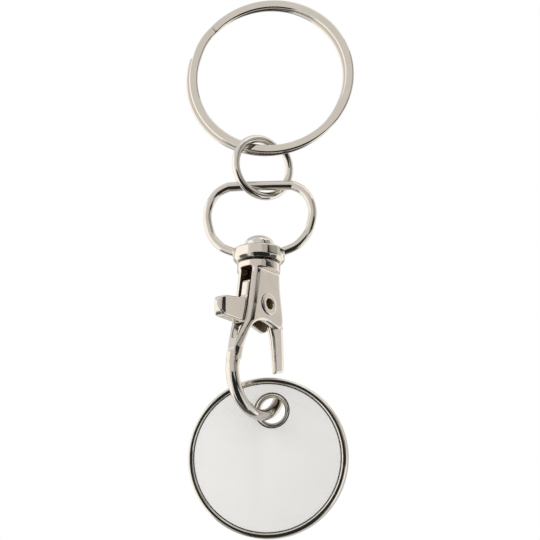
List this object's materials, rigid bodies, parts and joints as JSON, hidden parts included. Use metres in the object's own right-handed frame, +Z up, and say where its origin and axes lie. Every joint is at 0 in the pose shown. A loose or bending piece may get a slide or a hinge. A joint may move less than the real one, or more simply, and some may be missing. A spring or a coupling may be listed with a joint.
{
  "type": "coin keyring",
  "caption": "Split key ring with a jump ring, a swivel trigger snap with a sprung thumb lever, and a round trolley-coin token that hangs on the hook by its eyelet.",
  "frame": {"origin": "the inside top of the key ring, where the chain hangs", "axes": "+Z up along the hanging chain, +X to the right and +Y away from the viewer of the token's front face"},
  "size_m": [0.0244, 0.0157, 0.0803],
  "materials": {
    "spring_wire": "bright nickel plate on spring steel",
    "cast_nickel": "bright nickel plate on a zinc casting",
    "polished_nickel": "polished nickel plate",
    "token_metal": "polished nickel plate",
    "spring_steel": "drawn spring wire",
    "pale_face": "smooth off-white inlay"
  },
  "bodies": {
    "key_ring_body": {"key_ring": "spring_wire"},
    "jump_ring_body": {"jump_ring": "spring_wire"},
    "eye_body": {"swivel_eye": "cast_nickel"},
    "hook": {"hook_body": "cast_nickel", "swivel_rivet": "polished_nickel", "pivot_rivet": "polished_nickel", "gate_spring": "spring_steel"},
    "lever": {"gate_lever": "cast_nickel"},
    "token": {"coin_blank": "token_metal", "front_inlay": "pale_face", "back_inlay": "pale_face", "eyelet": "polished_nickel"}
  },
  "joints": [
    {"name": "jump_ring_swing", "type": "hinge", "parent": "key_ring_body", "child": "jump_ring_body", "pos_m": [-0.00083, -0.00369, -0.02172], "axis": [0.9947, -0.1011, -0.0206], "range_deg": [-35, 25]},
    {"name": "eye_swing", "type": "hinge", "parent": "jump_ring_body", "child": "eye_body", "pos_m": [-0.00177, -0.00423, -0.02706], "axis": [0.9902, -0.1396, -0.0035], "range_deg": [-90, 90]},
    {"name": "hook_swivel", "type": "hinge", "parent": "eye_body", "child": "hook", "pos_m": [-0.002, -0.00556, -0.03875], "axis": [0.0195, 0.1133, 0.9934], "continuous": true},
    {"name": "gate_open", "type": "hinge", "parent": "hook", "child": "lever", "pos_m": [-0.00206, -0.00623, -0.04528], "axis": [-0.7841, 0.6182, -0.0552], "range_deg": [0, 30], "stiffness_Nm_per_rad": 0.02, "springref_deg": -11.46, "deforming": ["gate_spring"]},
    {"name": "token_swing", "type": "hinge", "parent": "hook", "child": "token", "pos_m": [0, -0.00493, -0.06033], "axis": [-0.1653, -0.9776, -0.1305], "range_deg": [-12, 45]}
  ]
}
